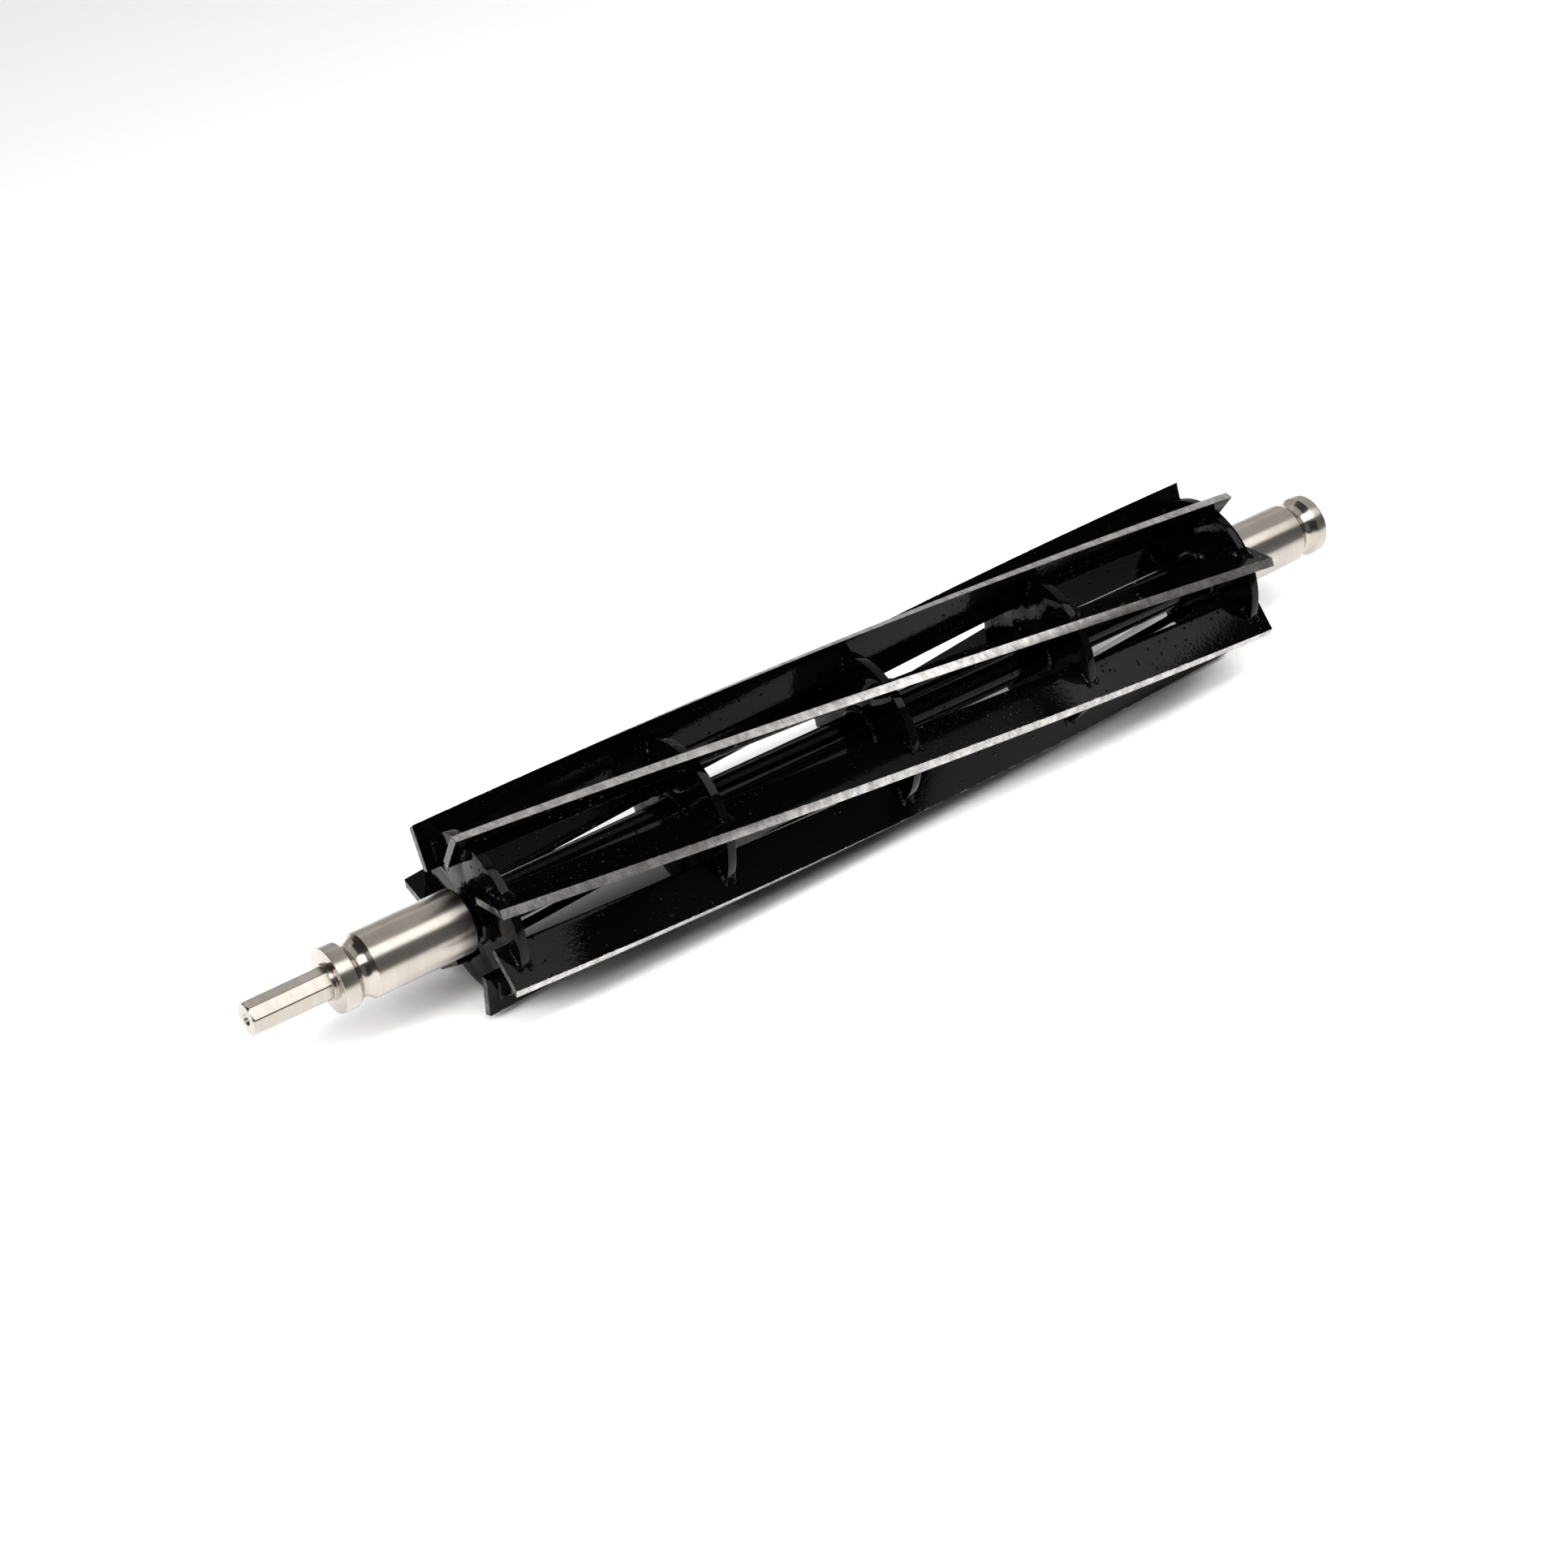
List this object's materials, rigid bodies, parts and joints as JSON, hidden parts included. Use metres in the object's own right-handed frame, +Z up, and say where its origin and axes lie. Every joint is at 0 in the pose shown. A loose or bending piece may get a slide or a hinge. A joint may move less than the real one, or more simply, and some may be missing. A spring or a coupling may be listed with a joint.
{
  "type": "reel mower cutting reel",
  "caption": "Cutting reel of a reel mower: raked helical blades welded into slotted discs on a shaft, with a turned bearing journal at each end and drive flats on one.",
  "frame": {"origin": "on the reel's axis, halfway between the two ends of the blades", "axes": "+X along the axis from the drive stub to the plain stub; +Z up, with the reel lying level; +Y away from a viewer who has the drive stub on the left"},
  "size_m": [0.8529, 0.127, 0.127],
  "materials": {
    "enamel": "gloss black enamel over welded steel",
    "turned_steel": "bare steel, turned and ground to a satin finish"
  },
  "bodies": {
    "root": {"centre_shaft": "enamel", "drive_stub": "turned_steel", "plain_stub": "turned_steel", "spider_1": "enamel", "shaft_weld_1_drive_side": "enamel", "shaft_weld_1_plain_side": "enamel", "spider_2": "enamel", "shaft_weld_2_drive_side": "enamel", "shaft_weld_2_plain_side": "enamel", "spider_3": "enamel", "shaft_weld_3_drive_side": "enamel", "shaft_weld_3_plain_side": "enamel", "spider_4": "enamel", "shaft_weld_4_drive_side": "enamel", "shaft_weld_4_plain_side": "enamel", "spider_5": "enamel", "shaft_weld_5_drive_side": "enamel", "shaft_weld_5_plain_side": "enamel", "blade_1": "enamel", "blade_2": "enamel", "blade_3": "enamel", "blade_4": "enamel", "blade_5": "enamel", "blade_6": "enamel", "blade_7": "enamel"}
  },
  "joints": []
}
